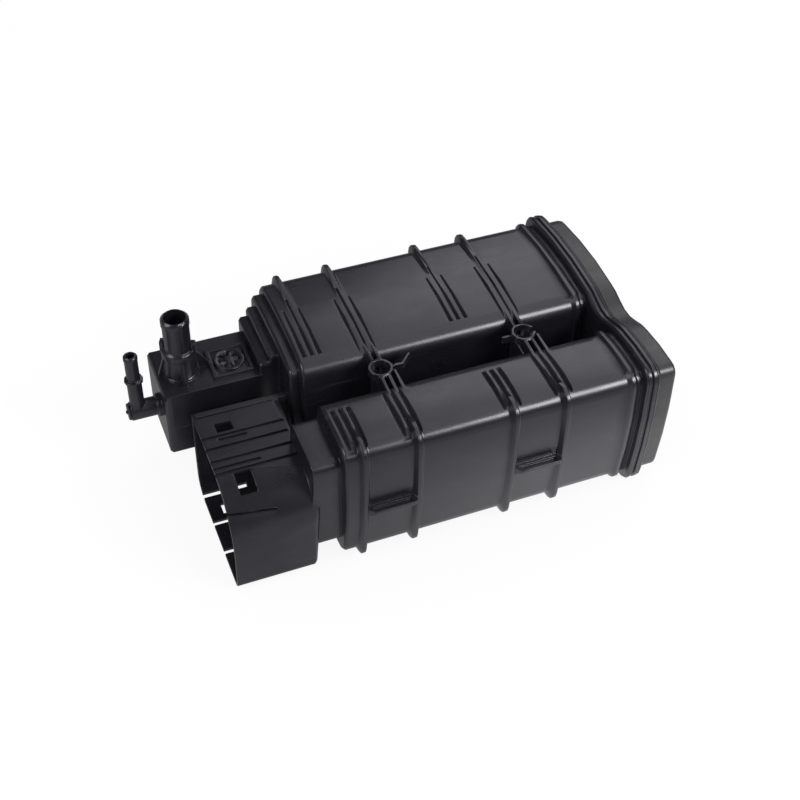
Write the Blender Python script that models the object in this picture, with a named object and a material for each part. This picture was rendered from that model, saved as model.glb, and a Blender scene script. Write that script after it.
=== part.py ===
# Charcoal canister of a petrol car's fuel tank: two parallel moulded chambers of
# activated carbon, joined at one end by a welded cover, with a port block and an
# open clip sleeve at the other end.
#
# Working frame: X runs from the ports to the cover, with 0 at the chambers' end
# wall; Y runs from the narrow front chamber to the wide rear one, with 0 in the
# middle of the gap; Z is up, with 0 at half the chambers' height. The last step
# moves everything so that the origin is the bottom centre. Metres throughout.

import math

import bmesh
import bpy
from mathutils import Matrix, Vector

for item in list(bpy.data.objects):
    bpy.data.objects.remove(item, do_unlink=True)

# Chambers
chamber_length = 0.1785
chamber_height = 0.080
rear_width = 0.0795
front_width = 0.0439
chamber_gap = 0.023
corner_radius = 0.009
side_bulge = 0.0016
rear_crown = 0.0022
front_crown = 0.0008
wall = 0.0025
end_round = 0.0014
fit_gap = 0.0003

# Rib beads round each chamber, as pairs, and a low one by the weld flange
rib_height = 0.003
rib_width = 0.0056
rib_crest = 0.0022
first_rib_x = 0.0105
third_rib_x = 0.0954
rib_pair_pitch = 0.030
low_rib_height = 0.0016
low_rib_from_weld = 0.0130

# Three parallel V grooves in the chambers' tops at each rib, where the bead fades out;
# they deepen towards the front
groove_pitch = 0.0044
groove_slope_rear = 1.25
groove_slope_front = 1.5
deep_rear = 0.0018
shallow_rear = 0.0009
shallow_bead = 0.0005
deep_front = 0.0019
shallow_front = 0.0016
first_group_shift = 0.0014
outer_groove_end = 0.0471
middle_groove_end = 0.0560
inner_groove_end = 0.0098
front_groove_start = 0.0102
front_groove_end = 0.0392
bridge_thickness = 0.0016
bridge_depth = 0.008
free_bridge_end = 0.0035

# Weld flange and end cover
flange_depth = 0.007
flange_height = 0.0036
flange_round = 0.0014
flange_bead_width = 0.0024
flange_groove_width = 0.0024
flange_groove_depth = 0.0014
flange_groove_slope = 0.0004
cover_depth = 0.0137
cover_dome = 0.0014
cover_dome_inset = 0.0056
cover_front_corner = 0.0062
cover_rear_corner = 0.0100
cover_wall = 0.0028
cover_lip_depth = 0.0024
cover_lip_height = 0.0033
cover_round = 0.0022
cover_round_share = 0.3
cover_inset = 0.0003
waist_depth = 0.0052
waist_width = 0.042
cover_rib_height = 0.0008
cover_rib_thickness = 0.003
cover_rib_count = 5

# Steps between the rear chamber's end wall and the port block
collar_step_depth = 0.006
collar_step_inset = 0.0042
upper_step_depth = 0.0052
upper_step_top = 0.0321
lower_step_depth = 0.0052
lower_step_top = 0.0281
upper_step_rear = 0.0042
lower_step_rear = 0.0020
step_drop = 0.006

# Port block
block_length = 0.0544
block_width = 0.0413
block_height = 0.0432
block_from_gap = 0.0352
block_drop = 0.0022
block_edge_radius = 0.0022
block_lip_height = 0.0012
block_lip_width = 0.0022
mark_frame_size = 0.0232
mark_frame_height = 0.0016
mark_frame_width = 0.0022
mark_from_step = 0.0130
mark_from_front = 0.0178
mark_ring_diameter = 0.0176
mark_ring_width = 0.0022
mark_ring_height = 0.0022
mark_hub_diameter = 0.0050
mark_spoke_width = 0.0018
mark_spokes = 4

# Tank port, upright on the block
tank_port_from_end = 0.0142
tank_port_from_front = 0.01975
tank_port_reach = 0.0396
tank_port_diameter = 0.0158
tank_port_bore = 0.0122
tank_port_neck = 0.0150
tank_port_lip = 0.0046
tank_port_chamfer = 0.0014
tank_collar_diameter = 0.0188
tank_collar_height = 0.0042
tank_collar_from_top = 0.0262
tank_collar_round = 0.0008
tank_base_diameter = 0.0160
tank_foot_diameter = 0.0208
tank_foot_height = 0.0018
gusset_thickness = 0.0018
gusset_reaches = (0.0166, 0.0124, 0.0124, 0.0136)
gusset_toe = 0.0016
tab_width = 0.0042
tab_thickness = 0.0020
tab_height = 0.0088
tab_angles = (155, 335)

# Purge port: a cross arm out of the block with an upright nozzle on it
arm_length = 0.0175
arm_diameter = 0.0112
arm_end_round = 0.0006
arm_bore = 0.0064
arm_boss_diameter = 0.0136
arm_boss_depth = 0.0024
arm_height = 0.0041
arm_from_block_front = 0.0135
nozzle_from_arm_end = 0.0046
nozzle_reach = 0.0410
nozzle_tip_diameter = 0.0079
nozzle_neck_diameter = 0.0074
nozzle_root_diameter = 0.0082
nozzle_bore = 0.0046
nozzle_lip = 0.0030
nozzle_chamfer = 0.0010
nozzle_foot = 0.0003
nozzle_ring_diameter = 0.0104
nozzle_ring_height = 0.0024
nozzle_ring_round = 0.0003
nozzle_ring_from_tip = 0.0193
plug_diameter = 0.0100
plug_thickness = 0.0010
plug_round = 0.0005
plug_spigot = 0.004
plug_nub = 0.0009
plug_nub_radius = 0.0010

# Air neck and clip sleeve
neck_width = 0.038
neck_height = 0.063
neck_shift_y = 0.002
neck_shift_z = -0.0005
neck_radius = 0.006
neck_length = 0.013
air_spigot_diameter = 0.026
air_spigot_bore = 0.020
air_spigot_length = 0.009
sleeve_length = 0.0465
sleeve_width = 0.078
sleeve_height = 0.0617
sleeve_rear = 0.0246
sleeve_top = 0.0168
sleeve_wall = 0.0022
sleeve_shoulder_width = 0.033
sleeve_shoulder_height = 0.038
sleeve_end_share = 0.60
sleeve_front_radius = 0.006
sleeve_heel_radius = 0.012
sleeve_bridge_radius = 0.003
slit_width = 0.0030
slit_length = 0.0255
slit_pitch = 0.0212
slit_from_rear = 0.0091
window_length = 0.0092
window_width = 0.0066
window_from_mouth = 0.0092
top_window_from_rear = 0.0164
front_slit_angle = 135
front_slit_width = 0.0016
shoulder_window_angles = (99, 110, 121)
slot_length = 0.0076
slot_shift = 0.0016
slot_width = 0.0026
slot_from_mouth = 0.0074
groove_depth = 0.0009
groove_width = 0.0012
groove_runs = ((0.0222, 0.0000, 0.0452), (0.0251, 0.0080, 0.0240), (0.0303, 0.0000, 0.0452),
               (0.0396, 0.0000, 0.0452), (0.0446, 0.0000, 0.0255), (0.0484, 0.0000, 0.0452))
end_slant = 0.056
rail_width = 0.0034
rail_height = 0.0008
rail_from_rear = 0.0028

# Ring bosses and their webs in the gap
ring_diameter = 0.0136
ring_bore = 0.0106
ring_height = 0.0046
ring_bore_depth = 0.014
ring_top = 0.040
ring_slot = 0.0036
web_thickness = 0.0018
web_top = 0.0326
web_bottom = -0.036
link_thickness = 0.0014
link_height = 0.005
link_run = 0.0125
link_tip = 0.0064
ring_hook = 0.0026

# Hook lugs on the front wall
lug_reach = 0.0056
lug_top = -0.0006
lug_nose = 0.0026
lug_depth = 0.0072
lug_lip = 0.0016
lug_groove_depth = 0.0014
lug_corner = 0.0032

# Filling, from the port end to the cover
grid_thickness = 0.002
grid_foot = 0.005
grid_foot_diameter = 0.006
grid_bar = 0.0032
grid_slots = 5
pad_thickness = 0.004
plate_thickness = 0.0026
plate_from_weld = 0.0110
spring_wire = 0.0018
spring_side_rear = 0.0030
spring_side_front = 0.0075
spring_between = 0.0085
spring_turns = 3.0
spring_closed_turns = 0.375
seat_height = 0.003
seat_clearance = 0.0012

# Colours
case_colour = (0.018, 0.018, 0.020)
insert_colour = (0.35, 0.34, 0.32)
fleece_colour = (0.62, 0.61, 0.57)
carbon_colour = (0.012, 0.012, 0.013)
steel_colour = (0.55, 0.55, 0.56)

# Roundness of the model
corner_steps = 4
side_steps = 3
groove_steps = 2
waist_steps = 7
shoulder_steps = 8
round_steps = 20
small_round_steps = 12
foot_steps = 8
wire_steps = 10
overshoot = 0.002
weld_distance = 0.000002
flatness = 0.00001
sharp_angle = 28


# Outlines in the YZ plane, counter-clockwise as seen from +X

def arc(centre_y, centre_z, radius, start, end, steps):
    return [(centre_y + radius * math.cos(math.radians(start + (end - start) * i / steps)),
             centre_z + radius * math.sin(math.radians(start + (end - start) * i / steps)))
            for i in range(steps + 1)]


def offset_outline(points, distance):
    moved = []
    for i, (y, z) in enumerate(points):
        before = Vector(points[i - 1])
        after = Vector(points[(i + 1) % len(points)])
        along = (after - before).normalized()
        moved.append((y + along.y * distance, z - along.x * distance))
    return moved


def barrel_outline(centre_y, centre_z, width, height, radius, crown, bulge):
    half_w = width / 2
    half_h = height / 2
    flat_w = half_w - radius
    flat_h = half_h - radius
    points = []
    for quarter, (sign_y, sign_z) in enumerate(((1, 1), (-1, 1), (-1, -1), (1, -1))):
        points += arc(centre_y + sign_y * flat_w, centre_z + sign_z * flat_h, radius,
                      90 * quarter, 90 * quarter + 90, corner_steps)
        for j in range(1, side_steps):
            t = 1 - 2 * j / side_steps
            lift = 1 - t * t
            points.append(((centre_y + t * flat_w, centre_z + half_h + crown * lift),
                           (centre_y - half_w - bulge * lift, centre_z + t * flat_h),
                           (centre_y - t * flat_w, centre_z - half_h - crown * lift),
                           (centre_y + half_w + bulge * lift, centre_z - t * flat_h))[quarter])
    return points


def chamber_outline(rear, grow=0.0):
    width = rear_width if rear else front_width
    crown = rear_crown if rear else front_crown
    centre = chamber_centre(rear)
    return barrel_outline(centre, 0.0, width + 2 * grow, chamber_height + 2 * grow,
                          corner_radius, crown, side_bulge)


def chamber_centre(rear):
    return (chamber_gap + rear_width) / 2 if rear else -(chamber_gap + front_width) / 2


def lobed_outline(grow, rear_radius=corner_radius, front_radius=corner_radius):
    half_h = chamber_height / 2 + grow
    rear_edge = chamber_gap / 2 + rear_width + grow
    front_edge = -(chamber_gap / 2 + front_width + grow)
    half_waist = waist_width / 2
    top = []
    rear_end = rear_edge - rear_radius
    front_end = front_edge + front_radius
    for y, centre, half, crown in lobe_stations(rear_end, front_end, half_waist):
        lift = max(0.0, 1 - ((y - centre) / half) ** 2)
        dip = math.cos(math.pi / 2 * y / half_waist) ** 2 if abs(y) < half_waist else 0.0
        top.append((y, half_h + crown * lift - waist_depth * dip))
    points = arc(rear_edge - rear_radius, half_h - rear_radius, rear_radius, 0, 90, corner_steps)
    points += top
    points += arc(front_edge + front_radius, half_h - front_radius, front_radius, 90, 180, corner_steps)
    points += side_points(front_edge, -1, half_h - front_radius)
    points += arc(front_edge + front_radius, front_radius - half_h, front_radius, 180, 270, corner_steps)
    points += [(y, -z) for y, z in reversed(top)]
    points += arc(rear_edge - rear_radius, rear_radius - half_h, rear_radius, 270, 360, corner_steps)
    points += side_points(rear_edge, 1, half_h - rear_radius)
    return points


def lobe_stations(rear_end, front_end, half_waist):
    rear_middle = (rear_end + half_waist) / 2
    front_middle = (front_end - half_waist) / 2
    rear_half = (rear_end - half_waist) / 2
    front_half = -(front_end + half_waist) / 2
    stations = []
    for i in range(1, side_steps + 1):
        stations.append((rear_end - 2 * rear_half * i / side_steps, rear_middle, rear_half, rear_crown))
    for i in range(1, waist_steps):
        y = half_waist - waist_width * i / waist_steps
        stations.append((y, 0.0, half_waist, 0.0))
    for i in range(0, side_steps - 1):
        y = -half_waist - 2 * front_half * i / (side_steps - 1)
        stations.append((y, front_middle, front_half, front_crown))
    return stations


def side_points(edge, sign, flat_h):
    points = []
    for j in range(1, side_steps):
        t = 1 - 2 * j / side_steps
        points.append((edge + sign * side_bulge * (1 - t * t), -sign * t * flat_h))
    return points


def sleeve_shoulder_point(angle, inset=0.0, share=1.0):
    # The rounded shoulder is a quarter of an ellipse, 90 degrees at the top and 180 at the front
    front = sleeve_rear - sleeve_width
    wide = sleeve_shoulder_width * share
    tall = sleeve_shoulder_height * share
    turn = math.radians(angle)
    return (front + wide + (wide - inset) * math.cos(turn),
            sleeve_top - tall + (tall - inset) * math.sin(turn))


def sleeve_outline(inset, share=1.0):
    rear = sleeve_rear - inset
    front = sleeve_rear - sleeve_width + inset
    top = sleeve_top - inset
    bottom = sleeve_top - sleeve_height + inset
    bridge = sleeve_bridge_radius - inset / 2
    toe = sleeve_front_radius - inset
    heel = sleeve_heel_radius - inset
    points = arc(rear - bridge, top - bridge, bridge, 0, 90, 3)
    for i in range(shoulder_steps + 1):
        points.append(sleeve_shoulder_point(90 + 90 * i / shoulder_steps, inset, share))
    points += arc(front + toe, bottom + toe, toe, 180, 270, 4)
    points += arc(rear - heel, bottom + heel, heel, 270, 360, 5)
    return points


# Solids

def finish(name, bm):
    bmesh.ops.connect_verts_nonplanar(bm, angle_limit=flatness, faces=bm.faces)
    bmesh.ops.recalc_face_normals(bm, faces=bm.faces)
    mesh = bpy.data.meshes.new(name)
    bm.to_mesh(mesh)
    bm.free()
    body = bpy.data.objects.new(name, mesh)
    bpy.context.scene.collection.objects.link(body)
    return body


def loft(name, rings):
    # A skin over outlines at their stations along X, with a flat cap at each end
    bm = bmesh.new()
    loops = [[bm.verts.new((x, y, z)) for y, z in outline] for x, outline in rings]
    count = len(loops[0])
    for near, far in zip(loops, loops[1:]):
        for i in range(count):
            bm.faces.new((near[i - 1], near[i], far[i], far[i - 1]))
    bm.faces.new(loops[0])
    bm.faces.new(loops[-1])
    return finish(name, bm)


def box(name, low, high):
    bm = bmesh.new()
    size = Vector(high) - Vector(low)
    middle = (Vector(high) + Vector(low)) / 2
    bmesh.ops.create_cube(bm, size=1.0, matrix=Matrix.Translation(middle) @ Matrix.Diagonal((*size, 1.0)))
    return finish(name, bm)


def turned(name, profile, centre, axis, steps):
    # Turns a (radius, distance) profile round an axis through centre
    turn = Vector((0, 0, 1)).rotation_difference(Vector(axis)).to_matrix().to_4x4()
    bm = bmesh.new()
    verts = [bm.verts.new((radius, 0, along)) for radius, along in profile]
    edges = [bm.edges.new(pair) for pair in zip(verts, verts[1:])]
    bmesh.ops.spin(bm, geom=verts + edges, cent=(0, 0, 0), axis=(0, 0, 1), angle=2 * math.pi,
                   steps=steps, use_merge=True)
    bmesh.ops.remove_doubles(bm, verts=bm.verts, dist=weld_distance)
    bmesh.ops.transform(bm, verts=bm.verts, matrix=Matrix.Translation(centre) @ turn)
    return finish(name, bm)


def rod(name, radius, start, end, centre, axis, steps):
    return turned(name, [(0, start), (radius, start), (radius, end), (0, end)], centre, axis, steps)


def wedge(name, corners, low, high, axis):
    # Extrudes a flat polygon: corners are (a, b) pairs in the plane across the axis
    across = "XYZ".index(axis)

    def place(a, b, t):
        point = [a, b]
        point.insert(across, t)
        return point

    bm = bmesh.new()
    face = bm.faces.new([bm.verts.new(place(a, b, low)) for a, b in corners])
    grown = bmesh.ops.extrude_face_region(bm, geom=[face])
    moved = [part for part in grown["geom"] if isinstance(part, bmesh.types.BMVert)]
    bmesh.ops.translate(bm, verts=moved, vec=Vector(place(0, 0, high - low)))
    return finish(name, bm)


def weld(body):
    bm = bmesh.new()
    bm.from_mesh(body.data)
    bmesh.ops.remove_doubles(bm, verts=bm.verts, dist=weld_distance)
    bm.to_mesh(body.data)
    bm.free()


def boolean(body, tool, operation):
    step = body.modifiers.new(operation, "BOOLEAN")
    step.operation = operation
    step.solver = "EXACT"
    step.object = tool
    depsgraph = bpy.context.evaluated_depsgraph_get()
    mesh = bpy.data.meshes.new_from_object(body.evaluated_get(depsgraph))
    body.modifiers.clear()
    body.data = mesh
    weld(body)
    bpy.data.objects.remove(tool, do_unlink=True)


def add(body, *tools):
    for tool in tools:
        boolean(body, tool, "UNION")


def cut(body, *tools):
    for tool in tools:
        boolean(body, tool, "DIFFERENCE")


def paint(body, colour, roughness, metallic=0.0):
    material = bpy.data.materials.new(body.name)
    material.use_nodes = True
    shader = material.node_tree.nodes["Principled BSDF"]
    shader.inputs["Base Color"].default_value = (*colour, 1.0)
    shader.inputs["Roughness"].default_value = roughness
    shader.inputs["Metallic"].default_value = metallic
    body.data.materials.clear()
    body.data.materials.append(material)
    body.data.shade_smooth()
    body.data.set_sharp_from_angle(angle=math.radians(sharp_angle))


# Places that several pieces share

rib_stations = (first_rib_x, first_rib_x + rib_pair_pitch, third_rib_x, third_rib_x + rib_pair_pitch)
low_rib_x = chamber_length - low_rib_from_weld
block_start = -(collar_step_depth + upper_step_depth + lower_step_depth)
block_end = block_start - block_length
block_y = block_from_gap + block_width / 2
block_top = block_height / 2 - block_drop
block_bottom = -block_height / 2 - block_drop
arm_end = block_end - arm_length
arm_y = block_from_gap + arm_from_block_front
nozzle_x = arm_end + nozzle_from_arm_end
tank_port_x = block_end + tank_port_from_end
tank_port_y = block_from_gap + tank_port_from_front
sleeve_end = -neck_length
sleeve_mouth = sleeve_end - sleeve_length
sleeve_bottom = sleeve_top - sleeve_height
inner_end = wall
plate_x = chamber_length - plate_from_weld
cover_start = chamber_length + fit_gap
cover_end = cover_start + cover_depth
cover_ceiling = cover_end - cover_wall


# Case

def faded_crest(rear, height):
    # A bead's crest: full height round the outer side and the bottom, level with the top face
    # and with the side that faces the gap
    half_h = chamber_height / 2
    centre = chamber_centre(rear)
    outer = 1 if rear else -1
    flat = (rear_width if rear else front_width) / 2 - corner_radius
    points = []
    for base, crest in zip(chamber_outline(rear), chamber_outline(rear, height)):
        reach = (base[0] - centre) * outer / flat
        share = 1.0
        if base[1] > half_h - corner_radius:
            share = min(max(2 * reach - 1, 0.0), 1.0)
        elif reach < -1:
            share = min(max(-(base[1] + half_h - corner_radius) / corner_radius, 0.0), 1.0)
        points.append((base[0] + (crest[0] - base[0]) * share, base[1] + (crest[1] - base[1]) * share))
    return points


def chamber_rings(rear):
    crest = faded_crest(rear, rib_height)
    low_crest = chamber_outline(rear, low_rib_height)
    base = chamber_outline(rear)
    rounded = offset_outline(base, -end_round)
    if rear:
        collar = offset_outline(base, -collar_step_inset)
        rings = [(-collar_step_depth, offset_outline(collar, -end_round)),
                 (-collar_step_depth + end_round, collar),
                 (0.0, collar), (0.0, rounded), (end_round, base)]
    else:
        rings = [(0.0, rounded), (end_round, base)]
    for x in rib_stations:
        rings += bead_rings(x, base, crest)
    rings += bead_rings(low_rib_x, base, low_crest)
    rings.append((chamber_length - flange_depth / 2, base))
    return rings


def bead_rings(x, base, crest):
    return [(x - rib_width / 2, base), (x - rib_crest / 2, crest),
            (x + rib_crest / 2, crest), (x + rib_width / 2, base)]


def flange():
    # Two beads with a groove between them
    outer = lobed_outline(flange_height)
    low = offset_outline(outer, -flange_groove_depth)
    start = chamber_length - flange_depth
    groove = start + flange_bead_width
    band = groove + flange_groove_width
    return loft("flange", [(start, offset_outline(outer, -flange_round)), (start + flange_round, outer),
                           (groove, outer), (groove + flange_groove_slope, low),
                           (band - flange_groove_slope, low), (band, outer), (chamber_length, outer)])


def cavity(rear):
    inner = offset_outline(chamber_outline(rear), -wall)
    return loft("cavity", [(inner_end, inner), (chamber_length + overshoot, inner)])


def top_height(rear, y):
    half = (rear_width if rear else front_width) / 2 - corner_radius
    t = min(abs(y - chamber_centre(rear)) / half, 1.0)
    return chamber_height / 2 + (rear_crown if rear else front_crown) * (1 - t * t)


def v_groove(rear, middle, start, end, depth_start, depth_end):
    # A triangular cutter along Y that follows the crowned top face and changes depth evenly
    slope = groove_slope_rear if rear else groove_slope_front
    bm = bmesh.new()
    rows = []
    for i in range(groove_steps + 1):
        share = i / groove_steps
        y = start + (end - start) * share
        depth = depth_start + (depth_end - depth_start) * share
        top = top_height(rear, y) + overshoot
        half = (depth + overshoot) * slope / 2
        corners = ((middle - half, y, top), (middle, y, top - overshoot - depth), (middle + half, y, top))
        rows.append([bm.verts.new(corner) for corner in corners])
    for near, far in zip(rows, rows[1:]):
        for i in range(3):
            bm.faces.new((near[i - 1], near[i], far[i], far[i - 1]))
    bm.faces.new(rows[0])
    bm.faces.new(rows[-1])
    return finish("v_groove", bm)


def groove_group(x, across_gap):
    tools = []
    gap_edge = chamber_gap / 2
    for side in (-1, 0, 1):
        middle = x + side * groove_pitch
        near = gap_edge - overshoot if across_gap else gap_edge + inner_groove_end
        far = gap_edge + (outer_groove_end if side else middle_groove_end)
        tools.append(v_groove(True, middle, near, far, deep_rear, shallow_rear if side else shallow_bead))
        near = -gap_edge + overshoot if across_gap else -gap_edge - front_groove_start
        tools.append(v_groove(False, middle, near, -gap_edge - front_groove_end, shallow_front, deep_front))
    return tools


def gap_bridges(x):
    # The ridges beside the grooves run on over the gap as thin plates; the third ends free
    # beside the ring
    plates = []
    reach = chamber_gap / 2 + corner_radius
    top = ring_top - fit_gap
    for side, far_end in ((-0.5, reach), (0.5, reach), (1.5, -free_bridge_end)):
        middle = x + side * groove_pitch
        plates.append(box("plate", (middle - bridge_thickness / 2, -reach, top - bridge_depth),
                          (middle + bridge_thickness / 2, far_end, top)))
    return plates


def ring_boss(body, x, split):
    # A ring in the middle of the gap, on a web, with the plates and a thin link running into it
    top = ring_top
    foot = top - ring_height
    outer = ring_diameter / 2
    root = (ring_diameter + ring_bore) / 4
    half = link_thickness / 2
    low = top - link_height
    if split:
        link = box("link", (x - outer - link_run / 2, -half, low), (x - root, half, top - 2 * fit_gap))
    else:
        bend = x + outer + link_run / 2
        path = [(x + root, -half), (bend, -half), (bend + link_tip, link_tip - half),
                (bend + link_tip - half, link_tip + half), (bend - half, half), (x + root, half)]
        link = wedge("link", path, low, top - 2 * fit_gap, "Z")
    add(body, *gap_bridges(x))
    add(body, rod("ring", outer, foot, top, (x, 0, 0), (0, 0, 1), round_steps))
    add(body, box("web", (x - web_thickness / 2, -chamber_gap / 2 - wall / 2, web_bottom),
                  (x + web_thickness / 2, chamber_gap / 2 + wall / 2, web_top)))
    add(body, link)
    cut(body, rod("bore", ring_bore / 2, top - ring_bore_depth, top + overshoot,
                  (x, 0, 0), (0, 0, 1), round_steps))
    if split:
        side = ring_slot / 2
        tip = x + outer - link_thickness
        mouth_foot = top - ring_bore_depth + overshoot / 2
        cut(body, box("mouth", (x, -side, mouth_foot), (x + ring_diameter, side, top + overshoot)))
        add(body, box("hook", (tip - ring_hook, -side - link_thickness, foot + fit_gap),
                      (tip, -side - fit_gap, top - 2 * fit_gap)))


def lug(start, end):
    # A hooked shelf between two ribs: flat nose, sloping underside, chamfered ends and a
    # groove behind its lip
    face = -(chamber_gap / 2 + front_width + side_bulge)
    root = face + wall / 2
    nose = face - lug_reach
    low = lug_top - lug_depth
    section = [(root, lug_top), (nose, lug_top), (nose, lug_top - lug_nose), (root, low)]
    body = wedge("lug", section, start, end, "X")
    plan = [(start, root), (start, nose + lug_corner), (start + lug_corner, nose),
            (end - lug_corner / 2, nose), (end, nose + lug_corner / 2), (end, root)]
    boolean(body, wedge("plan", plan, low - overshoot, lug_top + overshoot, "Z"), "INTERSECT")
    cut(body, box("groove", (start + lug_corner, nose + lug_lip, lug_top - lug_groove_depth),
                  (end - lug_corner, face - lug_lip, lug_top + overshoot)))
    return body


def port_block():
    outline = barrel_outline(block_y, -block_drop, block_width, block_height, block_edge_radius, 0.0, 0.0)
    body = loft("block", [(block_end, offset_outline(outline, -end_round)), (block_end + end_round, outline),
                          (block_start + overshoot, outline)])
    front = block_from_gap
    rear = block_from_gap + block_width
    lower = (block_start, block_start + lower_step_depth + overshoot, rear + lower_step_rear, lower_step_top)
    upper = (block_start + lower_step_depth, -collar_step_depth + overshoot, rear + upper_step_rear,
             upper_step_top)
    for start, end, back, top in (lower, upper):
        bottom = block_bottom - step_drop
        step = barrel_outline((front + back) / 2, (top + bottom) / 2, back - front, top - bottom,
                              block_edge_radius, 0.0, 0.0)
        rings = [(start, offset_outline(step, -end_round)), (start + end_round, step), (end, step)]
        add(body, loft("step", rings))
    lip = box("lip", (block_end + end_round, front, block_top - block_lip_width),
              (block_start + overshoot, front + block_lip_width, block_top + block_lip_height))
    add(body, lip)
    add(body, date_mark())
    return body


def date_mark():
    # A plain raised frame round a spoked ring, where the moulding has its clock
    centre = (block_start - mark_from_step, block_from_gap + mark_from_front, 0.0)
    x, y, z = centre
    half = mark_frame_size / 2
    hollow = half - mark_frame_width
    floor = block_top + mark_frame_height / 3
    low = block_top - overshoot
    top = block_top + mark_ring_height
    ring = mark_ring_diameter / 2
    body = box("frame", (x - half, y - half, low), (x + half, y + half, block_top + mark_frame_height))
    cut(body, box("hollow", (x - hollow, y - hollow, floor), (x + hollow, y + hollow, top + overshoot)))
    add(body, rod("ring", ring, low, top, centre, (0, 0, 1), small_round_steps))
    cut(body, rod("ring_hollow", ring - mark_ring_width, floor, top + overshoot,
                  centre, (0, 0, 1), small_round_steps))
    for i in range(mark_spokes):
        spoke = box("spoke", (mark_ring_width - ring, -mark_spoke_width / 2, low),
                    (ring - mark_ring_width / 2, mark_spoke_width / 2, top - mark_frame_height / 3))
        turn = Matrix.Rotation(math.pi * (i + 0.5) / mark_spokes, 4, "Z")
        spoke.data.transform(Matrix.Translation(centre) @ turn)
        add(body, spoke)
    add(body, rod("hub", mark_hub_diameter / 2, low, top, centre, (0, 0, 1), small_round_steps))
    return body


def tank_port():
    top = block_top + tank_port_reach
    collar = top - tank_collar_from_top
    rim = tank_port_diameter / 2
    neck = tank_port_neck / 2
    ring = tank_collar_diameter / 2
    base = tank_base_diameter / 2
    foot = block_top - wall / 2
    apron = tank_foot_diameter / 2
    apron_top = block_top + tank_foot_height
    collar_top = collar + tank_collar_height
    profile = [(0, foot), (apron, foot), (apron, apron_top - tank_collar_round),
               (apron - tank_collar_round, apron_top), (base + tank_foot_height, apron_top),
               (base, collar - tank_collar_round), (ring, collar), (ring, collar_top - tank_collar_round),
               (ring - tank_collar_round, collar_top), (neck, collar_top + tank_collar_round),
               (neck, top - tank_port_lip - tank_port_chamfer), (rim, top - tank_port_lip),
               (rim, top - tank_port_chamfer), (rim - tank_port_chamfer, top), (0, top)]
    centre = (tank_port_x, tank_port_y, 0)
    body = turned("tank_port", profile, centre, (0, 0, 1), round_steps)
    half = gusset_thickness / 2
    inside = base - overshoot
    for turn, reach in enumerate(gusset_reaches):
        fin = wedge("gusset", [(inside, foot), (reach, foot), (reach, block_top + gusset_toe),
                               (ring - tank_collar_round, collar + fit_gap), (inside, collar + fit_gap)],
                    -half, half, "Y")
        fin.data.transform(Matrix.Translation(centre) @ Matrix.Rotation(math.radians(90 * turn), 4, "Z"))
        add(body, fin)
    for angle in tab_angles:
        tab = box("tab", (ring - tab_thickness, -tab_width / 2, collar + tank_collar_round),
                  (ring + fit_gap, tab_width / 2, collar + tab_height))
        tab.data.transform(Matrix.Translation(centre) @ Matrix.Rotation(math.radians(angle), 4, "Z"))
        add(body, tab)
    return body


def purge_port():
    tip = arm_height + nozzle_reach
    ring = tip - nozzle_ring_from_tip
    neck = nozzle_neck_diameter / 2
    root = nozzle_root_diameter / 2
    head = nozzle_tip_diameter / 2
    wide = nozzle_ring_diameter / 2
    arm = arm_diameter / 2
    boss = arm_boss_diameter / 2
    shoulder = arm_height + arm + nozzle_foot
    boss_start = block_end - arm_boss_depth
    root_end = block_end + overshoot
    profile = [(0, arm_end), (arm - arm_end_round, arm_end), (arm, arm_end + arm_end_round),
               (arm, boss_start - arm_end_round), (boss, boss_start), (boss, root_end), (0, root_end)]
    body = turned("arm", profile, (0, arm_y, arm_height), (1, 0, 0), small_round_steps)
    profile = [(0, arm_height), (root + nozzle_foot, arm_height), (root + nozzle_foot, shoulder),
               (root, shoulder + nozzle_foot), (root, ring), (wide, ring + nozzle_ring_round),
               (wide, ring + nozzle_ring_height - nozzle_ring_round), (neck, ring + nozzle_ring_height),
               (neck, tip - nozzle_lip - nozzle_chamfer), (head, tip - nozzle_lip),
               (head, tip - nozzle_chamfer), (head - nozzle_chamfer, tip), (0, tip)]
    add(body, turned("nozzle", profile, (nozzle_x, arm_y, 0), (0, 0, 1), small_round_steps))
    return body


def sleeve():
    # The shoulder is squarer at the end wall than at the mouth
    body = slant_end(loft("sleeve", [(sleeve_mouth, sleeve_outline(0.0)),
                                     (sleeve_end - end_round, sleeve_outline(0.0, sleeve_end_share)),
                                     (sleeve_end, sleeve_outline(end_round, sleeve_end_share))]))
    neck = barrel_outline(chamber_centre(False) + neck_shift_y, neck_shift_z, neck_width, neck_height,
                          neck_radius, 0.0, 0.0)
    add(body, loft("neck", [(sleeve_end - sleeve_wall, neck), (wall / 2, neck)]))
    rail = sleeve_rear - rail_from_rear
    add(body, box("rail", (sleeve_mouth + overshoot / 2, rail - rail_width, sleeve_top - sleeve_wall),
                  (-collar_step_depth + end_round, rail, sleeve_top + rail_height)))
    return body


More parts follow.
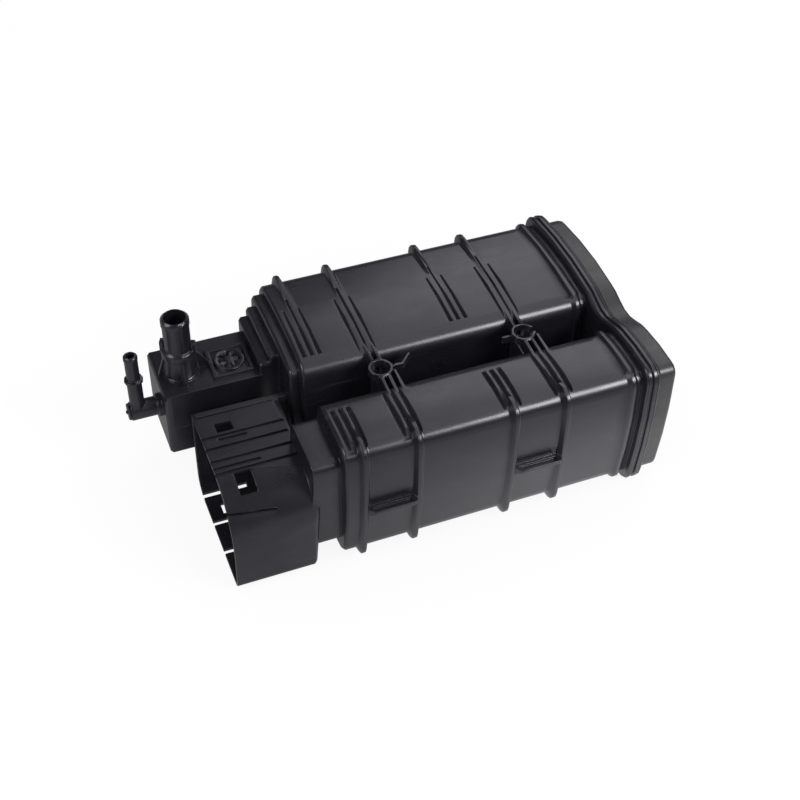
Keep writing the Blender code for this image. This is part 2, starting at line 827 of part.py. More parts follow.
def sleeve_cuts():
    rings = [(sleeve_mouth - overshoot, sleeve_outline(sleeve_wall)),
             (sleeve_end - sleeve_wall, sleeve_outline(sleeve_wall, sleeve_end_share))]
    tools = [slant_end(loft("hollow", rings))]
    for i in range(3):
        y = sleeve_rear - slit_from_rear - i * slit_pitch
        tools.append(box("slit", (sleeve_mouth - overshoot, y - slit_width / 2, sleeve_bottom - overshoot),
                         (sleeve_mouth + slit_length, y + slit_width / 2, sleeve_bottom + 2 * sleeve_wall)))
    y, z = sleeve_shoulder_point(front_slit_angle)
    tools.append(box("front_slit", (sleeve_mouth - overshoot, y - 2 * sleeve_wall, z - front_slit_width / 2),
                     (sleeve_mouth + slit_length, y + 2 * sleeve_wall, z + front_slit_width / 2)))
    window = sleeve_mouth + window_from_mouth
    y = sleeve_rear - top_window_from_rear
    tools.append(box("top_window", (window, y - window_width / 2, sleeve_top - 2 * sleeve_wall),
                     (window + window_length, y + window_width / 2, sleeve_top + overshoot)))
    outer = [sleeve_shoulder_point(angle, -overshoot) for angle in shoulder_window_angles]
    inner = [sleeve_shoulder_point(angle, 2 * sleeve_wall) for angle in reversed(shoulder_window_angles)]
    tools.append(wedge("shoulder_window", outer + inner, window, window + window_length, "X"))
    slot = sleeve_mouth + slot_from_mouth
    y = sleeve_rear - slit_from_rear - slit_pitch / 2 - slot_shift
    tools.append(box("slot", (slot, y - slot_length / 2, sleeve_bottom - overshoot),
                     (slot + slot_width, y + slot_length / 2, sleeve_bottom + 2 * sleeve_wall)))
    for back, start, end in groove_runs:
        y = sleeve_rear - back
        low = sleeve_mouth + (start if start else -overshoot)
        tools.append(box("groove", (low, y - groove_width / 2, sleeve_top - groove_depth),
                         (sleeve_mouth + end, y + groove_width / 2, sleeve_top + overshoot)))
    return tools


def slant_end(body):
    # The sleeve's end wall leans by its draft, further out at the top
    for vert in body.data.vertices:
        if vert.co.x > sleeve_mouth + sleeve_length / 2:
            vert.co.x += (vert.co.z - (sleeve_top + sleeve_bottom) / 2) * end_slant
    return body


def passage_cuts():
    # Gas ways: tank port and purge arm into the block, block into the rear chamber,
    # front chamber through the neck into the sleeve
    step_y = (block_from_gap + wall, block_from_gap + block_width - wall)
    tools = [box("block_way", (block_end + wall, step_y[0], block_bottom + wall),
                 (inner_end + overshoot, step_y[1], block_top - wall)),
             rod("tank_bore", tank_port_bore / 2, block_top - 2 * wall,
                 block_top + tank_port_reach + overshoot,
                 (tank_port_x, tank_port_y, 0), (0, 0, 1), round_steps),
             rod("nozzle_bore", nozzle_bore / 2, arm_height, arm_height + nozzle_reach + overshoot,
                 (nozzle_x, arm_y, 0), (0, 0, 1), small_round_steps),
             rod("arm_bore", arm_bore / 2, arm_end - overshoot, block_end + 2 * wall,
                 (0, arm_y, arm_height), (1, 0, 0), small_round_steps),
             rod("air_way", air_spigot_bore / 2, sleeve_end - sleeve_wall - air_spigot_length - overshoot,
                 inner_end + overshoot, (0, chamber_centre(False), 0), (1, 0, 0), round_steps)]
    return tools


def canister_case():
    body = loft("canister_case", chamber_rings(True))
    add(body, flange(), loft("front", chamber_rings(False)))
    add(body, port_block(), tank_port(), purge_port(), sleeve())
    for i, x in enumerate(rib_stations):
        shift = first_group_shift if i < 2 else 0.0
        cut(body, *groove_group(x - shift, i in (1, 3)))
    ring_boss(body, rib_stations[1], False)
    ring_boss(body, rib_stations[3], True)
    for i in (0, 2):
        add(body, lug(rib_stations[i] + rib_crest / 2, rib_stations[i + 1] - rib_crest / 2))
    cut(body, cavity(True), cavity(False), *sleeve_cuts())
    add(body, rod("air_spigot", air_spigot_diameter / 2, sleeve_end - sleeve_wall - air_spigot_length,
                  sleeve_end - sleeve_wall / 2, (0, chamber_centre(False), 0), (1, 0, 0), round_steps))
    cut(body, *passage_cuts())
    paint(body, case_colour, 0.42)
    return body


# End cover

def spring_outer(rear):
    # Side by side in the wide chamber, one above the other in the narrow one
    if rear:
        return (rear_width - 2 * wall - 2 * spring_side_rear - spring_between) / 2
    return front_width - 2 * wall - 2 * spring_side_front


def spring_places(rear):
    centre = chamber_centre(rear)
    half = (spring_outer(rear) + spring_between) / 2
    if rear:
        return [(centre - half, 0.0), (centre + half, 0.0)]
    return [(centre, -half), (centre, half)]


def end_cover():
    body_line = lobed_outline(-cover_inset, cover_rear_corner, cover_front_corner)
    lip = lobed_outline(cover_lip_height)
    inner = lobed_outline(-cover_inset - cover_wall)
    start = cover_start
    shoulder = cover_round * cover_round_share
    body = loft("end_cover", [(start, lip), (start + cover_lip_depth - flange_round, lip),
                              (start + cover_lip_depth, offset_outline(lip, -flange_round)),
                              (start + cover_lip_depth, body_line), (cover_end - cover_round, body_line),
                              (cover_end - shoulder, offset_outline(body_line, -shoulder)),
                              (cover_end, offset_outline(body_line, -cover_round)),
                              (cover_end + cover_dome, offset_outline(body_line, -cover_dome_inset))])
    cut(body, loft("hollow", [(start - overshoot, inner), (cover_ceiling, inner)]))
    half_h = chamber_height / 2 - corner_radius
    span = rear_width + chamber_gap + front_width - 4 * corner_radius
    rear_edge = chamber_gap / 2 + rear_width - 2 * corner_radius
    for i in range(cover_rib_count):
        y = rear_edge - span * i / (cover_rib_count - 1)
        add(body, box("stiffener", (cover_end - cover_wall / 2, y - cover_rib_thickness / 2, -half_h),
                      (cover_end + cover_dome + cover_rib_height, y + cover_rib_thickness / 2, half_h)))
    for rear in (True, False):
        radius = spring_outer(rear) / 2 - spring_wire - seat_clearance
        for y, z in spring_places(rear):
            add(body, rod("seat", radius, cover_ceiling - seat_height, cover_ceiling + cover_wall / 2,
                          (0, y, z), (1, 0, 0), small_round_steps))
    paint(body, case_colour, 0.42)
    return body


# Filling

def plate_outline(rear):
    return offset_outline(chamber_outline(rear), -(wall + fit_gap))


def slot_rows(rear, start, end):
    # Long slots across the plate, one above the other
    outline = plate_outline(rear)
    half_y = (max(y for y, z in outline) - min(y for y, z in outline)) / 2 - corner_radius
    half_z = max(z for y, z in outline) - corner_radius
    centre = chamber_centre(rear)
    height = (2 * half_z - (grid_slots - 1) * grid_bar) / grid_slots
    columns = 2 if rear else 1
    length = (2 * half_y - (columns - 1) * grid_bar) / columns
    tools = []
    for row in range(grid_slots):
        low_z = -half_z + row * (height + grid_bar)
        for column in range(columns):
            low_y = centre - half_y + column * (length + grid_bar)
            tools.append(box("slot", (start - overshoot, low_y, low_z),
                             (end + overshoot, low_y + length, low_z + height)))
    return tools


def support_grid(name, rear):
    # Stands on four feet off the end wall and keeps the bed clear of the ports
    start = inner_end + fit_gap
    face = start + grid_foot
    outline = plate_outline(rear)
    body = loft(name, [(face, outline), (face + grid_thickness, outline)])
    cut(body, *slot_rows(rear, face, face + grid_thickness))
    half_y = (max(y for y, z in outline) - min(y for y, z in outline)) / 2 - grid_foot_diameter
    half_z = max(z for y, z in outline) - grid_foot_diameter
    for sign_y in (-1, 1):
        for sign_z in (-1, 1):
            centre = (0, chamber_centre(rear) + sign_y * half_y, sign_z * half_z)
            add(body, rod("foot", grid_foot_diameter / 2, start, face + grid_thickness / 2,
                          centre, (1, 0, 0), foot_steps))
    paint(body, insert_colour, 0.5)
    return body


def pressure_plate(name, rear):
    # Slotted plate with a stud inside each spring
    outline = plate_outline(rear)
    face = plate_x - plate_thickness
    body = loft(name, [(face, outline), (plate_x, outline)])
    cut(body, *slot_rows(rear, face, plate_x))
    radius = spring_outer(rear) / 2 - spring_wire - seat_clearance
    inner = radius - grid_bar
    tip = plate_x + seat_height
    section = [(inner, face), (radius, face), (radius, tip), (inner, tip), (inner, face)]
    for y, z in spring_places(rear):
        add(body, turned("stud", section, (0, y, z), (1, 0, 0), small_round_steps))
    paint(body, insert_colour, 0.5)
    return body


def filling(name, rear, start, end, colour, roughness):
    outline = plate_outline(rear)
    body = loft(name, [(start, outline), (end, outline)])
    paint(body, colour, roughness)
    return body


def spring(name, rear, place):
    # Compression spring between the plate and the cover
    start = plate_x + fit_gap + spring_wire / 2
    end = cover_ceiling - fit_gap - spring_wire / 2
    radius = (spring_outer(rear) - spring_wire) / 2
    count = int(spring_turns * wire_steps)
    curve = bpy.data.curves.new(name, "CURVE")
    curve.dimensions = "3D"
    curve.bevel_depth = spring_wire / 2
    curve.bevel_resolution = 1
    curve.use_fill_caps = True
    line = curve.splines.new("POLY")
    line.points.add(count)
    closed = spring_closed_turns / spring_turns
    for i, point in enumerate(line.points):
        share = i / count
        rise = min(max((share - closed) / (1 - 2 * closed), 0.0), 1.0)
        angle = 2 * math.pi * spring_turns * share
        point.co = (start + (end - start) * rise, place[0] + radius * math.cos(angle),
                    place[1] + radius * math.sin(angle), 1.0)
    body = bpy.data.objects.new(name, curve)
    bpy.context.scene.collection.objects.link(body)
    depsgraph = bpy.context.evaluated_depsgraph_get()
    mesh = bpy.data.meshes.new_from_object(body.evaluated_get(depsgraph))
    bpy.data.objects.remove(body, do_unlink=True)
    body = bpy.data.objects.new(name, mesh)
    bpy.context.scene.collection.objects.link(body)
    weld(body)
    paint(body, steel_colour, 0.3, 1.0)
    return body


def arm_plug():
    # Welded into the open end of the purge arm
    head = plug_diameter / 2
    spigot = arm_bore / 2 - fit_gap
    face = arm_end - fit_gap
    profile = [(0, face + plug_spigot), (spigot, face + plug_spigot), (spigot, face), (head, face),
               (head, face - plug_thickness + plug_round), (head - plug_round, face - plug_thickness),
               (plug_nub_radius, face - plug_thickness), (plug_nub_radius, face - plug_thickness - plug_nub),
               (0, face - plug_thickness - plug_nub)]
    body = turned("purge_arm_plug", profile, (0, arm_y, arm_height), (1, 0, 0), small_round_steps)
    paint(body, case_colour, 0.45)
    return body


def build():
    canister_case()
    end_cover()
    arm_plug()
    for rear, side in ((True, "rear"), (False, "front")):
        support_grid(side + "_support_grid", rear)
        pad_start = inner_end + fit_gap + grid_foot + grid_thickness + fit_gap
        bed_start = pad_start + pad_thickness + fit_gap
        bed_end = plate_x - plate_thickness - 2 * fit_gap - pad_thickness
        outlet_start = bed_end + fit_gap
        filling(side + "_inlet_pad", rear, pad_start, pad_start + pad_thickness, fleece_colour, 0.95)
        filling(side + "_carbon_bed", rear, bed_start, bed_end, carbon_colour, 0.9)
        filling(side + "_outlet_pad", rear, outlet_start, outlet_start + pad_thickness, fleece_colour, 0.95)
        pressure_plate(side + "_pressure_plate", rear)
        for i, place in enumerate(spring_places(rear)):
            spring("%s_spring_%d" % (side, i + 1), rear, place)


def stand_on_floor():
    bodies = list(bpy.context.scene.objects)
    corners = [body.matrix_world @ vert.co for body in bodies for vert in body.data.vertices]
    low = Vector([min(corner[i] for corner in corners) for i in range(3)])
    high = Vector([max(corner[i] for corner in corners) for i in range(3)])
    shift = Vector((-(low.x + high.x) / 2, -(low.y + high.y) / 2, -low.z))
    for body in bodies:
        body.data.transform(Matrix.Translation(shift))
    print("origin of the working frame:", [round(value, 6) for value in shift])
    print("size:", [round(value, 5) for value in high - low])


build()
stand_on_floor()
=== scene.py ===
import math

import bmesh
import bpy
from mathutils import Matrix, Vector


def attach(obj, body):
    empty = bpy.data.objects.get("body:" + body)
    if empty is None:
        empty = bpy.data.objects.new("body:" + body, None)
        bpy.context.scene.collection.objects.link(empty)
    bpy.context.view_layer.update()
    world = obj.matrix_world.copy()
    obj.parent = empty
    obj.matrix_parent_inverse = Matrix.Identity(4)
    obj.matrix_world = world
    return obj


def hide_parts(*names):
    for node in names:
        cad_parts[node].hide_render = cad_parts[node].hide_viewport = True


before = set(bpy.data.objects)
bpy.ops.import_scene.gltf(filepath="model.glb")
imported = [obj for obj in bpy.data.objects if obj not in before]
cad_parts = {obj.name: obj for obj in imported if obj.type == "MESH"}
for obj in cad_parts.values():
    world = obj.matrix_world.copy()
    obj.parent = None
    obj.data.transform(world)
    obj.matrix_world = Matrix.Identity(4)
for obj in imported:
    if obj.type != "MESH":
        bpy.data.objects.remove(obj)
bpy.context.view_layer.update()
print("frame loaded:", len(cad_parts), "nodes")


# Shader nodes; the owner is a material or the world

def addNode(owner, kind, **settings):
    node = owner.node_tree.nodes.new(kind)
    for key, value in settings.items():
        setattr(node, key, value)
    return node


def link(owner, source, target):
    owner.node_tree.links.new(source, target)


def newMaterial(name, colour, roughness, metallic=0.0):
    material = bpy.data.materials.new(name)
    material.use_nodes = True
    shader = material.node_tree.nodes["Principled BSDF"]
    shader.inputs["Base Color"].default_value = (*colour, 1.0)
    shader.inputs["Roughness"].default_value = roughness
    shader.inputs["Metallic"].default_value = metallic
    return material, shader


def objectNoise(material, scale, detail, roughness, stretch=(1.0, 1.0, 1.0)):
    coords = addNode(material, "ShaderNodeTexCoord")
    mapping = addNode(material, "ShaderNodeMapping")
    mapping.inputs["Scale"].default_value = stretch
    noise = addNode(material, "ShaderNodeTexNoise")
    noise.inputs["Scale"].default_value = scale
    noise.inputs["Detail"].default_value = detail
    noise.inputs["Roughness"].default_value = roughness
    link(material, coords.outputs["Object"], mapping.inputs["Vector"])
    link(material, mapping.outputs["Vector"], noise.inputs["Vector"])
    return noise.outputs["Fac"]


noiseRange = (0.35, 0.65)  # nearly all of a noise's values lie between these


def ramp(material, source, low, high, span=noiseRange):
    spread = addNode(material, "ShaderNodeMapRange")
    spread.inputs["From Min"].default_value, spread.inputs["From Max"].default_value = span
    spread.inputs["To Min"].default_value = low
    spread.inputs["To Max"].default_value = high
    link(material, source, spread.inputs["Value"])
    return spread.outputs["Result"]


def colourRamp(material, source, dark, light, span=noiseRange):
    blend = addNode(material, "ShaderNodeValToRGB")
    for element, position, colour in zip(blend.color_ramp.elements, span, (dark, light)):
        element.position = position
        element.color = (*colour, 1.0)
    link(material, source, blend.inputs["Fac"])
    return blend.outputs["Color"]


def addBump(material, shader, *heights):
    # heights: (source, (distance in metres, strength)), coarse to fine
    below = None
    for source, (distance, strength) in heights:
        bump = addNode(material, "ShaderNodeBump")
        bump.inputs["Distance"].default_value = distance
        bump.inputs["Strength"].default_value = strength
        link(material, source, bump.inputs["Height"])
        if below:
            link(material, below.outputs["Normal"], bump.inputs["Normal"])
        below = bump
    link(material, below.outputs["Normal"], shader.inputs["Normal"])


# Moulded plastic

blackPlastic = {
    "dark": (0.0080, 0.0078, 0.0115),
    "light": (0.0125, 0.0122, 0.0165),
    "glossLow": 0.27,
    "glossHigh": 0.32,
    "specular": 0.95,
    "tint": (0.94, 0.93, 1.0),
    "scuffed": (0.026, 0.026, 0.028),
    "scuffGloss": 0.12,  # added to the roughness
    "scuffSpan": (0.70, 0.78),  # scratch noise where a scuff starts and is full
    "cloud": {"scale": 55.0, "detail": 5.0, "roughness": 0.6, "stretch": (0.45, 1.0, 1.0)},
    "flow": {"scale": 120.0, "detail": 4.0, "roughness": 0.6, "stretch": (0.5, 1.0, 1.0)},
    "grain": {"scale": 2600.0, "detail": 3.0, "roughness": 0.5},
    "scratch": {"scale": 320.0, "detail": 2.0, "roughness": 0.5, "stretch": (0.04, 1.0, 0.8)},
    "cloudBump": (0.0006, 0.07),  # metres, strength
    "grainBump": (0.00004, 0.12),
}
coverFinish = {
    **blackPlastic,
    "dark": (0.016, 0.016, 0.017),
    "light": (0.025, 0.025, 0.027),
    "glossLow": 0.35,
    "glossHigh": 0.44,
    "specular": 0.9,
    "tint": (0.97, 0.97, 1.0),
    "scuffed": (0.050, 0.050, 0.052),
}
naturalNylon = {
    **blackPlastic,
    "dark": (0.30, 0.29, 0.27),
    "light": (0.40, 0.39, 0.36),
    "glossLow": 0.42,
    "glossHigh": 0.55,
    "specular": 0.5,
    "tint": (1.0, 1.0, 1.0),
    "scuffed": (0.45, 0.44, 0.41),
    "cloud": {**blackPlastic["cloud"], "scale": 80.0},
}


def mouldedPlastic(name, finish):
    material, shader = newMaterial(name, finish["dark"], finish["glossLow"])
    shader.inputs["Specular IOR Level"].default_value = finish["specular"]
    shader.inputs["Specular Tint"].default_value = (*finish["tint"], 1.0)
    cloud = objectNoise(material, **finish["cloud"])
    flow = objectNoise(material, **finish["flow"])
    grain = objectNoise(material, **finish["grain"])
    # Handling scuffs: rare long scratches where the noise peaks, paler and duller than the rest
    scratch = objectNoise(material, **finish["scratch"])
    scuff = ramp(material, scratch, 0.0, 1.0, finish["scuffSpan"])
    plain = colourRamp(material, cloud, finish["dark"], finish["light"])
    worn = addNode(material, "ShaderNodeMix", data_type="RGBA")
    link(material, scuff, worn.inputs["Factor"])
    link(material, plain, worn.inputs[6])  # the Mix node's colours are 6, 7 and output 2
    worn.inputs[7].default_value = (*finish["scuffed"], 1.0)
    link(material, worn.outputs[2], shader.inputs["Base Color"])
    gloss = addNode(material, "ShaderNodeMath", operation="MULTIPLY_ADD")
    link(material, scuff, gloss.inputs[0])
    gloss.inputs[1].default_value = finish["scuffGloss"]
    link(material, ramp(material, flow, finish["glossLow"], finish["glossHigh"]), gloss.inputs[2])
    link(material, gloss.outputs["Value"], shader.inputs["Roughness"])
    addBump(material, shader, (cloud, finish["cloudBump"]), (grain, finish["grainBump"]))
    return material


# Packed carbon, needled fleece, spring wire

looseCarbon = {
    "colour": (0.012, 0.012, 0.013),
    "roughness": 0.85,
    "scale": 480.0,
    # Granule tops against their edges: the darker edges are painted shade in the gaps between
    # granules
    "grainTop": (0.022, 0.022, 0.023),
    "between": (0.004, 0.004, 0.004),
    "colourSpan": (0.1, 0.7),
    "bumpSpan": (0.0, 0.8),
    "bump": (0.0011, 0.9),
}


def granules(name, finish):
    material, shader = newMaterial(name, finish["colour"], finish["roughness"])
    coords = addNode(material, "ShaderNodeTexCoord")
    cells = addNode(material, "ShaderNodeTexVoronoi")
    cells.inputs["Scale"].default_value = finish["scale"]
    link(material, coords.outputs["Object"], cells.inputs["Vector"])
    away = cells.outputs["Distance"]
    # Painted shade: the colour darkens towards each granule's edge, where the gaps between granules
    # would be in shadow
    colour = colourRamp(material, away, finish["grainTop"], finish["between"], finish["colourSpan"])
    link(material, colour, shader.inputs["Base Color"])
    height = ramp(material, away, 1.0, 0.0, finish["bumpSpan"])
    addBump(material, shader, (height, finish["bump"]))
    return material


paleFleece = {
    "colour": (0.62, 0.61, 0.57),
    "roughness": 0.95,
    "dark": (0.45, 0.44, 0.40),
    "light": (0.68, 0.67, 0.63),
    "fibres": {"scale": 900.0, "detail": 6.0, "roughness": 0.7, "stretch": (1.0, 0.25, 1.0)},
    "bump": (0.0004, 0.7),
}


def fleece(name, finish):
    material, shader = newMaterial(name, finish["colour"], finish["roughness"])
    fibres = objectNoise(material, **finish["fibres"])
    colour = colourRamp(material, fibres, finish["dark"], finish["light"])
    link(material, colour, shader.inputs["Base Color"])
    addBump(material, shader, (fibres, finish["bump"]))
    return material


brightWire = {
    "colour": (0.48, 0.48, 0.49),
    "glossLow": 0.22,
    "glossHigh": 0.42,
    "drawn": {"scale": 1500.0, "detail": 4.0, "roughness": 0.6},
    "bump": (0.00002, 0.3),
}


def springSteel(name, finish):
    material, shader = newMaterial(name, finish["colour"], finish["glossLow"], metallic=1.0)
    drawn = objectNoise(material, **finish["drawn"])
    gloss = ramp(material, drawn, finish["glossLow"], finish["glossHigh"])
    link(material, gloss, shader.inputs["Roughness"])
    addBump(material, shader, (drawn, finish["bump"]))
    return material


# Objects; the inner pieces keep the CAD's meshes

def newObject(name, bm, material):
    mesh = bpy.data.meshes.new(name)
    bm.to_mesh(mesh)
    bm.free()
    mesh.materials.append(material)
    thing = bpy.data.objects.new(name, mesh)
    bpy.context.scene.collection.objects.link(thing)
    return thing


def dress(node, material):
    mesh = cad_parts[node].data
    mesh.materials.clear()
    mesh.materials.append(material)


insertPlastic = mouldedPlastic("insertPlastic", naturalNylon)
carbonGranules = granules("carbonGranules", looseCarbon)
filterFleece = fleece("filterFleece", paleFleece)
steelWire = springSteel("springSteel", brightWire)
for chamber in ("rear", "front"):
    dress(chamber + "_support_grid", insertPlastic)
    dress(chamber + "_pressure_plate", insertPlastic)
    dress(chamber + "_inlet_pad", filterFleece)
    dress(chamber + "_outlet_pad", filterFleece)
    dress(chamber + "_carbon_bed", carbonGranules)
    for spring in ("_spring_1", "_spring_2"):
        dress(chamber + spring, steelWire)
print("materials on the inner pieces")


# Moulded pieces: a welded copy of the node with its edges rounded

def hasRoom(edge, length):
    # Every edge that meets this one is long enough for the rounding
    return min(other.calc_length() for vert in edge.verts for other in vert.link_edges) > length


def crosses(face, across):
    places = [vert.co.x for vert in face.verts]
    return min(places) < across < max(places)


def evenly(first, pitch, count):
    return [first + pitch * step for step in range(count)]


sleeveGrooves = {  # metres: where they are on the node, and how far their sides and floors move
    "middles": (-0.01431, -0.01721, -0.02241, -0.03171, -0.03671, -0.04051),
    "halfWidth": 0.0006,
    "floor": 0.06146,
    "end": -0.0655,
    "near": 0.00005,
    "widen": 0.0003,
    "deepen": 0.0007,
}


def openGrooves(bm, grooves):
    # The clip sleeve's top: wider and deeper channels, as dark as the photograph's
    floor = []
    for vert in bm.verts:
        if vert.co.x > grooves["end"] or vert.co.z < grooves["floor"] - grooves["near"]:
            continue
        for middle in grooves["middles"]:
            side = vert.co.y - middle
            if abs(abs(side) - grooves["halfWidth"]) < grooves["near"]:
                outwards = (0.0, math.copysign(grooves["widen"], side), 0.0)
                bmesh.ops.translate(bm, verts=[vert], vec=outwards)
                if vert.co.z < grooves["floor"] + grooves["near"]:
                    floor.append(vert)
                break
    bmesh.ops.translate(bm, verts=floor, vec=(0.0, 0.0, -grooves["deepen"]))
    print("sleeve grooves:", len(floor), "corners lowered")


plainEdges = {  # lengths in metres, angles in degrees
    "weld": 0.00001,
    "flat": 0.4,
    "sharpAngle": 50,
    "radius": 0.0003,
    "segments": 2,
    "smoothAngle": 52,
    "evenness": 60,
    "cuts": [*evenly(-0.1190, 0.0021, 21), *evenly(-0.0740, 0.0060, 33)],  # the sleeve, the rest
    "grooves": None,
}
caseEdges = {**plainEdges, "grooves": sleeveGrooves}


def roundEdges(bm, edges):
    sharpAngle = math.radians(edges["sharpAngle"])
    sharp = [edge for edge in bm.edges if edge.calc_face_angle(0.0) > sharpAngle]
    roomy = [edge for edge in sharp if hasRoom(edge, 2 * edges["radius"])]
    bmesh.ops.bevel(bm, geom=roomy, offset=edges["radius"], offset_type="OFFSET",
                    segments=edges["segments"], profile=0.5, affect="EDGES",
                    clamp_overlap=False, material=-1, loop_slide=True)
    print("  sharp edges", len(sharp), "rounded", len(roomy))


def cutAcross(bm, edges):
    # Short faces keep the shading even along the walls and beside the windows; the dictionaries
    # list each edge and corner once, in the same order each run
    for across in edges["cuts"]:
        near = [face for face in bm.faces if crosses(face, across)]
        rim = dict.fromkeys(edge for face in near for edge in face.edges)
        corners = dict.fromkeys(vert for edge in rim for vert in edge.verts)
        bmesh.ops.bisect_plane(bm, geom=[*near, *rim, *corners], dist=edges["weld"],
                               plane_co=(across, 0.0, 0.0), plane_no=(1.0, 0.0, 0.0))


def roundedCopy(node, name, material, edges):
    bm = bmesh.new()
    bm.from_mesh(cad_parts[node].data)
    bmesh.ops.remove_doubles(bm, verts=bm.verts, dist=edges["weld"])
    if edges["grooves"]:
        openGrooves(bm, edges["grooves"])
    bmesh.ops.dissolve_limit(bm, angle_limit=math.radians(edges["flat"]),
                             verts=bm.verts, edges=bm.edges)
    bm.normal_update()
    before = len(bm.faces)
    roundEdges(bm, edges)
    cutAcross(bm, edges)
    print(name, "faces", before, "to", len(bm.faces))
    piece = newObject(name, bm, material)
    piece.data.shade_smooth()
    piece.data.set_sharp_from_angle(angle=math.radians(edges["smoothAngle"]))
    even = piece.modifiers.new("evenNormals", "WEIGHTED_NORMAL")
    even.keep_sharp = True
    even.weight = edges["evenness"]
    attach(piece, "root")
    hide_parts(node)


casePlastic = mouldedPlastic("casePlastic", blackPlastic)
coverPlastic = mouldedPlastic("coverPlastic", coverFinish)
plugPlastic = mouldedPlastic("plugPlastic", blackPlastic)
roundedCopy("canister_case", "moulded_case", casePlastic, caseEdges)
roundedCopy("end_cover", "welded_cover", coverPlastic, plainEdges)
roundedCopy("purge_arm_plug", "arm_plug", plugPlastic, plainEdges)


# Camera

cameraPlace = {
    "eye": (-0.20392, -0.49153, 0.57433),
    "azimuth": -23.3,
    "elevation": 45.05,
    "roll": 2.4,
    "lens": 59.37,
    "sensor": 36.0,
    "clipStart": 0.01,
    "clipEnd": 50.0,
}


def makeCamera(place):
    azimuth = math.radians(place["azimuth"])
    elevation = math.radians(place["elevation"])
    roll = math.radians(place["roll"])
    right = Vector((math.cos(azimuth), math.sin(azimuth), 0.0))
    back = Vector((math.sin(azimuth) * math.cos(elevation),
                   -math.cos(azimuth) * math.cos(elevation),
                   math.sin(elevation)))
    up = back.cross(right)
    across = right * math.cos(roll) + up * math.sin(roll)
    upright = -right * math.sin(roll) + up * math.cos(roll)
    camera = bpy.data.objects.new("camera", bpy.data.cameras.new("camera"))
    bpy.context.scene.collection.objects.link(camera)
    turn = Matrix((across, upright, back)).transposed().to_4x4()
    camera.matrix_world = Matrix.Translation(Vector(place["eye"])) @ turn
    camera.data.lens = place["lens"]
    camera.data.sensor_width = place["sensor"]
    camera.data.clip_start = place["clipStart"]
    camera.data.clip_end = place["clipEnd"]
    camera.data.dof.use_dof = False
    bpy.context.scene.camera = camera


# World, floor and curtain

def whenSeen(owner, seen, lit, share=1.0):
    # Mixes in the first shader, by its share, where the camera, a reflection or glass sees it
    path = addNode(owner, "ShaderNodeLightPath")
    most = path.outputs["Is Camera Ray"]
    for output in ("Is Glossy Ray", "Is Transmission Ray"):
        larger = addNode(owner, "ShaderNodeMath", operation="MAXIMUM")
        link(owner, most, larger.inputs[0])
        link(owner, path.outputs[output], larger.inputs[1])
        most = larger.outputs["Value"]
    part = addNode(owner, "ShaderNodeMath", operation="MULTIPLY")
    part.inputs[1].default_value = share
    link(owner, most, part.inputs[0])
    blend = addNode(owner, "ShaderNodeMixShader")
    link(owner, part.outputs["Value"], blend.inputs["Fac"])
    link(owner, lit, blend.inputs[1])
    link(owner, seen, blend.inputs[2])
    return blend.outputs["Shader"]


def makeWorld(strength):
    world = bpy.data.worlds.new("studio")
    bpy.context.scene.world = world
    world.use_nodes = True
    world.node_tree.nodes.clear()
    soft = addNode(world, "ShaderNodeBackground")
    soft.inputs["Strength"].default_value = strength
    white = addNode(world, "ShaderNodeBackground")
    white.inputs["Strength"].default_value = 1.0
    for node in (soft, white):
        node.inputs["Color"].default_value = (1.0, 1.0, 1.0, 1.0)
    output = addNode(world, "ShaderNodeOutputWorld")
    seen = whenSeen(world, white.outputs["Background"], soft.outputs["Background"])
    link(world, seen, output.inputs["Surface"])


paleFloor = {
    "size": 6.0,
    "white": 0.86,
    "roughness": 0.9,
    "glow": 0.9,  # share of plain white in it, where it is seen
    "paintedPoolCentre": (0.14, -0.09, 0.0),  # painted pool of light: reflections see a glowing oval in front of the canister
    "paintedPoolShape": (1.15, 0.42, 1.0),
    "paintedPoolNear": 0.05,
    "paintedPoolFar": 0.20,
    "paintedPoolFaint": 0.28,
}


def makeFloor(paper):
    material, matt = newMaterial("floorPaper", (paper["white"],) * 3, paper["roughness"])
    matt.inputs["Specular IOR Level"].default_value = 0.0
    coords = addNode(material, "ShaderNodeTexCoord")
    oval = addNode(material, "ShaderNodeMapping", vector_type="TEXTURE")
    oval.inputs["Location"].default_value = paper["paintedPoolCentre"]
    oval.inputs["Scale"].default_value = paper["paintedPoolShape"]
    link(material, coords.outputs["Object"], oval.inputs["Vector"])
    reach = addNode(material, "ShaderNodeVectorMath", operation="LENGTH")
    link(material, oval.outputs["Vector"], reach.inputs[0])
    # Painted pool of light: the floor's glow, as reflections see it, is full in the oval and fades
    # outside it
    paintedPoolGlow = ramp(material, reach.outputs["Value"], 1.0, paper["paintedPoolFaint"],
                 (paper["paintedPoolNear"], paper["paintedPoolFar"]))
    path = addNode(material, "ShaderNodeLightPath")
    strength = addNode(material, "ShaderNodeMix", data_type="FLOAT")
    link(material, path.outputs["Is Glossy Ray"], strength.inputs["Factor"])
    strength.inputs[2].default_value = 1.0  # the Mix node's numbers are 2, 3 and output 0
    link(material, paintedPoolGlow, strength.inputs[3])
    lamp = addNode(material, "ShaderNodeEmission")
    link(material, strength.outputs[0], lamp.inputs["Strength"])
    seen = whenSeen(material, lamp.outputs["Emission"], matt.outputs["BSDF"], paper["glow"])
    link(material, seen, material.node_tree.nodes["Material Output"].inputs["Surface"])
    bm = bmesh.new()
    bmesh.ops.create_grid(bm, x_segments=2, y_segments=2, size=paper["size"] / 2)
    floor = newObject("floor", bm, material)


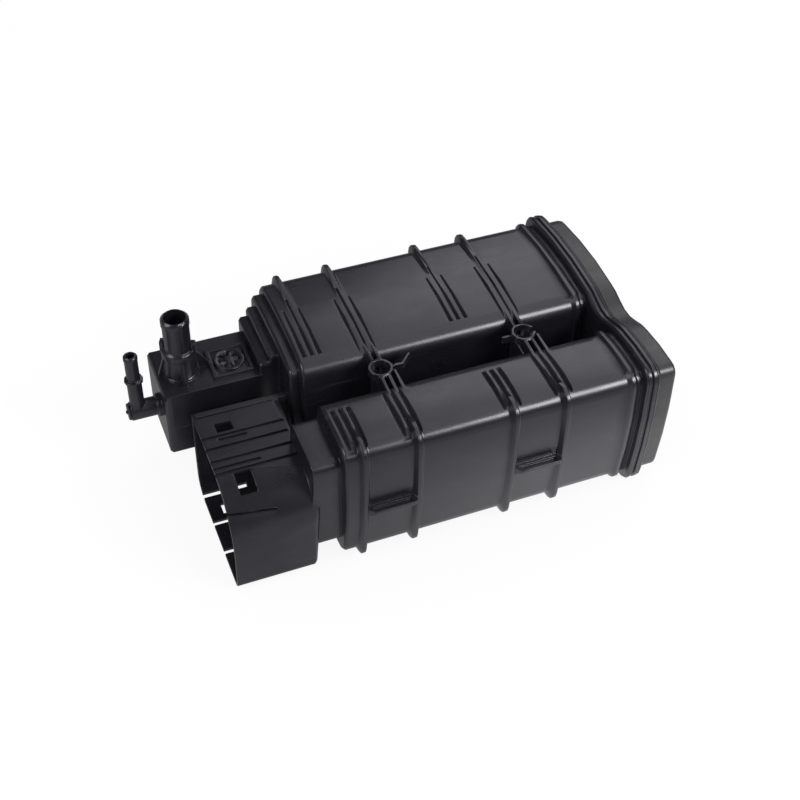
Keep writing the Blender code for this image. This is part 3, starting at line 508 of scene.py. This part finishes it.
blackCurtain = {
    "radius": 1.6,
    "height": 2.4,
    "segments": 48,
    "roofEnd": 0.45,
    "colour": (0.045, 0.045, 0.06),
    "roughness": 0.9,
}


def makeCurtain(cloth):
    # Black cloth round the set and over its left part, which only reflections see
    radius, height = cloth["radius"], cloth["height"]
    bm = bmesh.new()
    bmesh.ops.create_cone(bm, cap_ends=False, segments=cloth["segments"],
                          radius1=radius, radius2=radius, depth=height)
    bmesh.ops.translate(bm, verts=bm.verts, vec=(0.0, 0.0, height / 2))
    roof = bmesh.ops.create_grid(bm, x_segments=1, y_segments=1, size=radius)["verts"]
    bmesh.ops.translate(bm, verts=roof, vec=(cloth["roofEnd"] - radius, 0.0, height))
    material = newMaterial("blackCloth", cloth["colour"], cloth["roughness"])[0]
    curtain = newObject("curtain", bm, material)
    curtain.visible_camera = False
    curtain.visible_diffuse = False
    curtain.visible_transmission = False
    curtain.visible_shadow = False


# Lights: the back one shows on the tops, the front one on the top's front roundings

softboxes = {
    "softboxBack": {
        "place": (0.74, 0.80, 0.92),
        "aim": (0.05, 0.0, 0.05),
        "size": (0.98, 0.7),
        "power": 2.65,
    },
    "softboxFront": {
        "place": (0.57, -0.72, 0.70),
        "aim": (0.05, 0.0, 0.05),
        "size": (0.46, 0.32),
        "power": 6.0,
    },
    "softboxLeft": {
        "place": (-1.1, -0.2, 0.8),
        "aim": (0.0, 0.0, 0.05),
        "size": (0.7, 0.7),
        "power": 5.0,
    },
}


def makeLight(name, box):
    light = bpy.data.lights.new(name, "AREA")
    light.shape = "RECTANGLE"
    light.size, light.size_y = box["size"]
    light.energy = box["power"]
    lamp = bpy.data.objects.new(name, light)
    bpy.context.scene.collection.objects.link(lamp)
    lamp.location = box["place"]
    towards = Vector(box["aim"]) - Vector(box["place"])
    lamp.rotation_euler = towards.to_track_quat("-Z", "Y").to_euler()


makeCamera(cameraPlace)
makeWorld(strength=0.8)
makeFloor(paleFloor)
makeCurtain(blackCurtain)
for name, box in softboxes.items():
    makeLight(name, box)
bpy.context.scene.view_settings.view_transform = "Standard"
print("camera, floor and lights")
